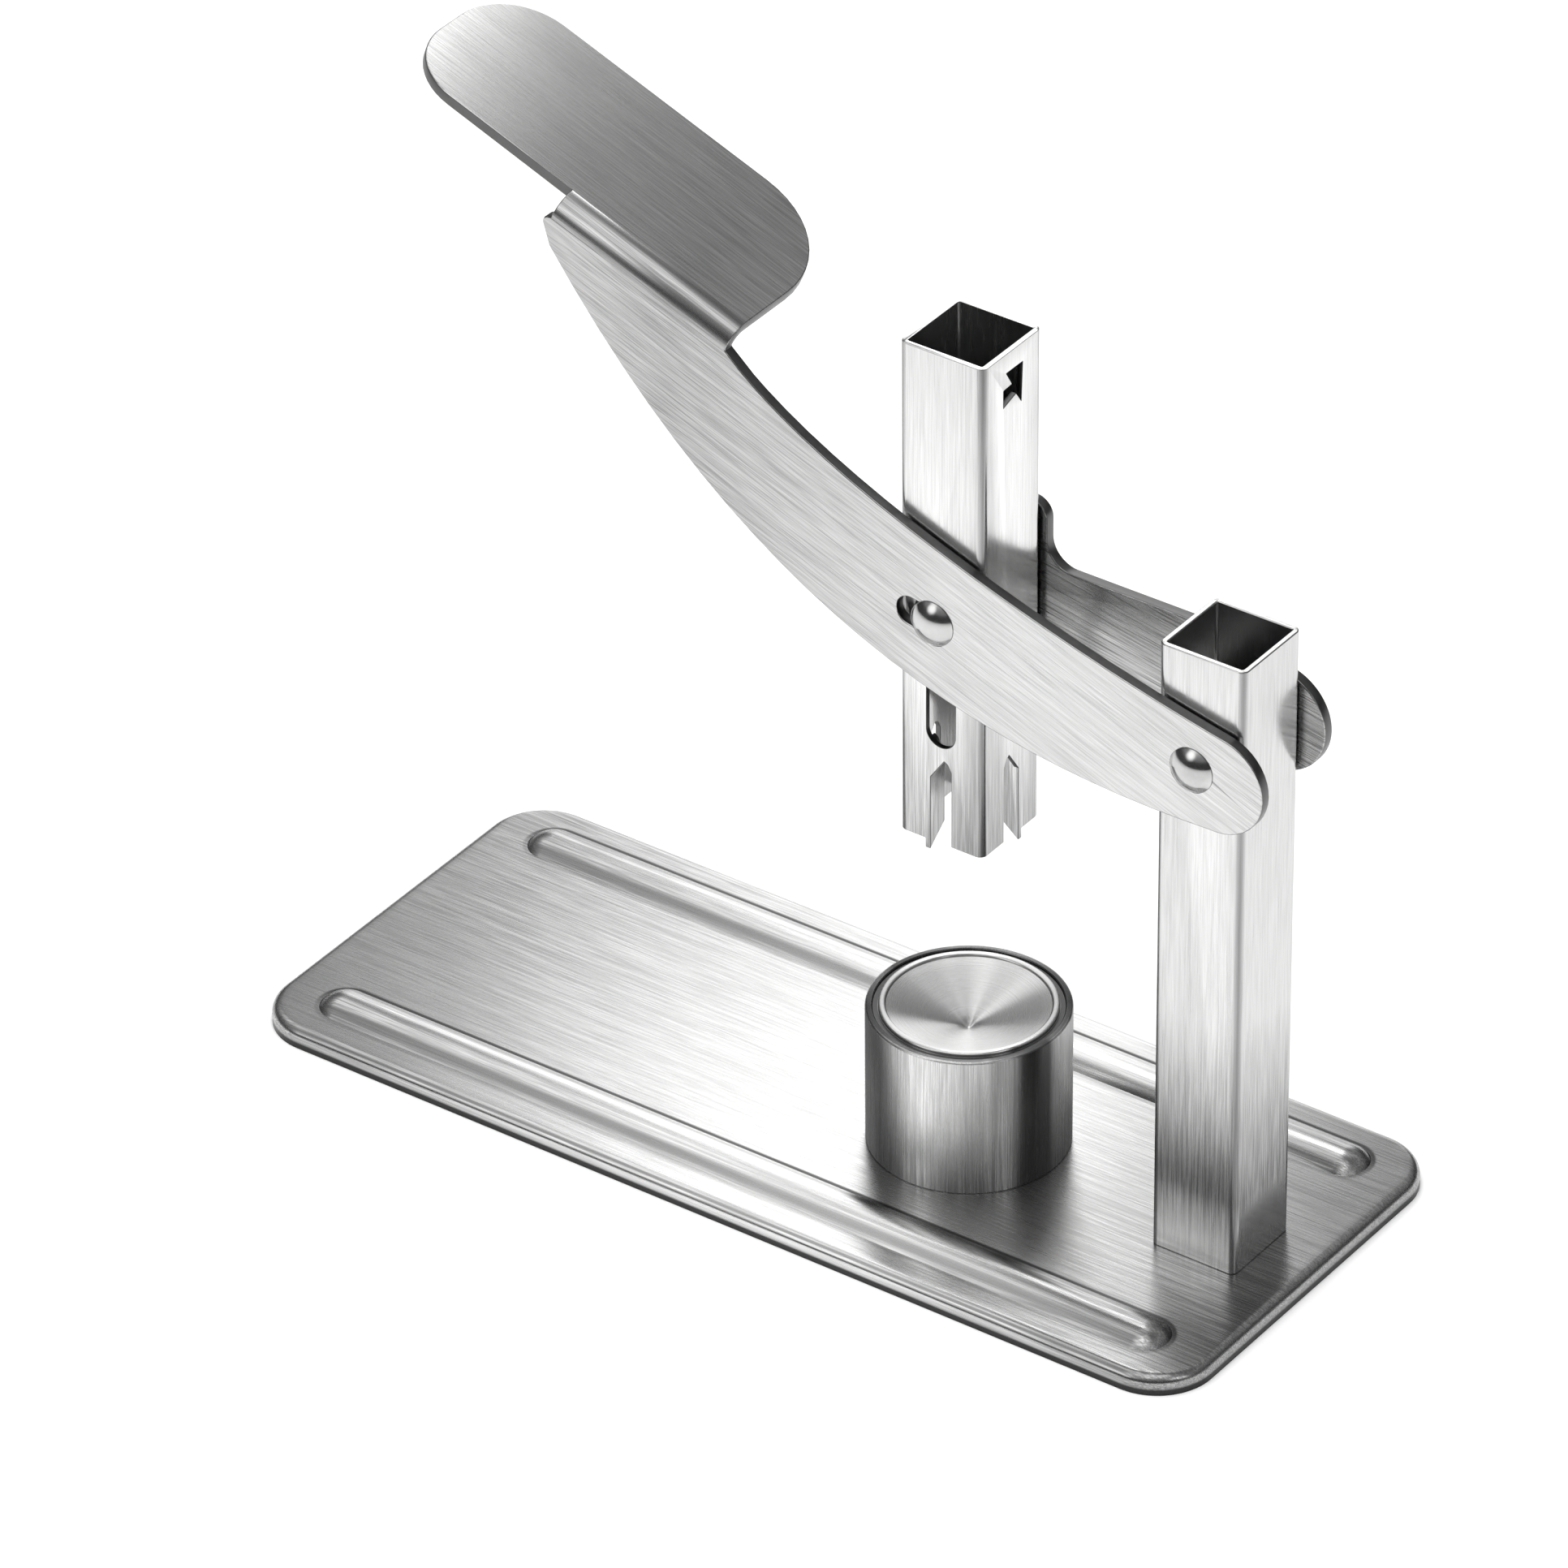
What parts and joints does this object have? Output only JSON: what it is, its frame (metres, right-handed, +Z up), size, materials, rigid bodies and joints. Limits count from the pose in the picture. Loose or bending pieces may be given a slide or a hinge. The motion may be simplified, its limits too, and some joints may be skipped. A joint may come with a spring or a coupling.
{
  "type": "lever nutcracker",
  "caption": "Table-top lever nutcracker in brushed steel: a long arm presses a bladed square tube down onto a dished cup that stands on a ribbed base plate.",
  "frame": {"origin": "centre of the resting face, under the middle of the base plate", "axes": "+X along the base plate towards the column, +Y away from the handle arm, +Z up"},
  "size_m": [0.23, 0.098, 0.2163],
  "materials": {
    "sheet_steel": "stainless sheet, brushed along its length",
    "tube_steel": "stainless tube, brushed along its length",
    "lever_steel": "stainless sheet, brushed along the arm",
    "dish_steel": "stainless, turned, with fine rings",
    "rivet_steel": "stainless, polished domes",
    "fastener_steel": "plain stainless",
    "washer_nylon": "black nylon",
    "pad_rubber": "black rubber"
  },
  "bodies": {
    "stand": {"base_plate": "sheet_steel", "foot_pad_1": "pad_rubber", "foot_pad_2": "pad_rubber", "foot_pad_3": "pad_rubber", "foot_pad_4": "pad_rubber", "column_tube": "tube_steel", "column_plug": "fastener_steel", "column_screw": "fastener_steel", "cup_sleeve": "tube_steel", "cup_dish": "dish_steel", "cup_post": "fastener_steel", "cup_screw": "fastener_steel", "pivot_rivet": "rivet_steel", "pivot_sleeve": "fastener_steel", "pivot_washer_front": "washer_nylon", "pivot_washer_rear": "washer_nylon"},
    "lever": {"lever_arm": "lever_steel", "rear_cheek": "lever_steel"},
    "head_pin": {"head_rivet": "rivet_steel", "head_washer_front": "washer_nylon", "head_washer_rear": "washer_nylon"},
    "head": {"press_head": "tube_steel", "head_sleeve": "fastener_steel"}
  },
  "joints": [
    {"name": "lever_press", "type": "hinge", "parent": "stand", "child": "lever", "pos_m": [0.093, 0, 0.1232], "axis": [0, -1, 0], "range_deg": [0, 35.83]},
    {"name": "pin_slide", "type": "slide", "parent": "lever", "child": "head_pin", "axis": [-0.9836, 0, 0.1805], "range_m": [0, 0.00552]},
    {"name": "head_upright", "type": "hinge", "parent": "head_pin", "child": "head", "pos_m": [0.032, 0, 0.1344], "axis": [0, -1, 0], "range_deg": [-35.83, 0]}
  ],
  "couplings": [
    {"joint": "pin_slide", "follows": "lever_press", "m_per_rad": 0.0088337},
    {"joint": "head_upright", "follows": "lever_press", "ratio": -1}
  ]
}
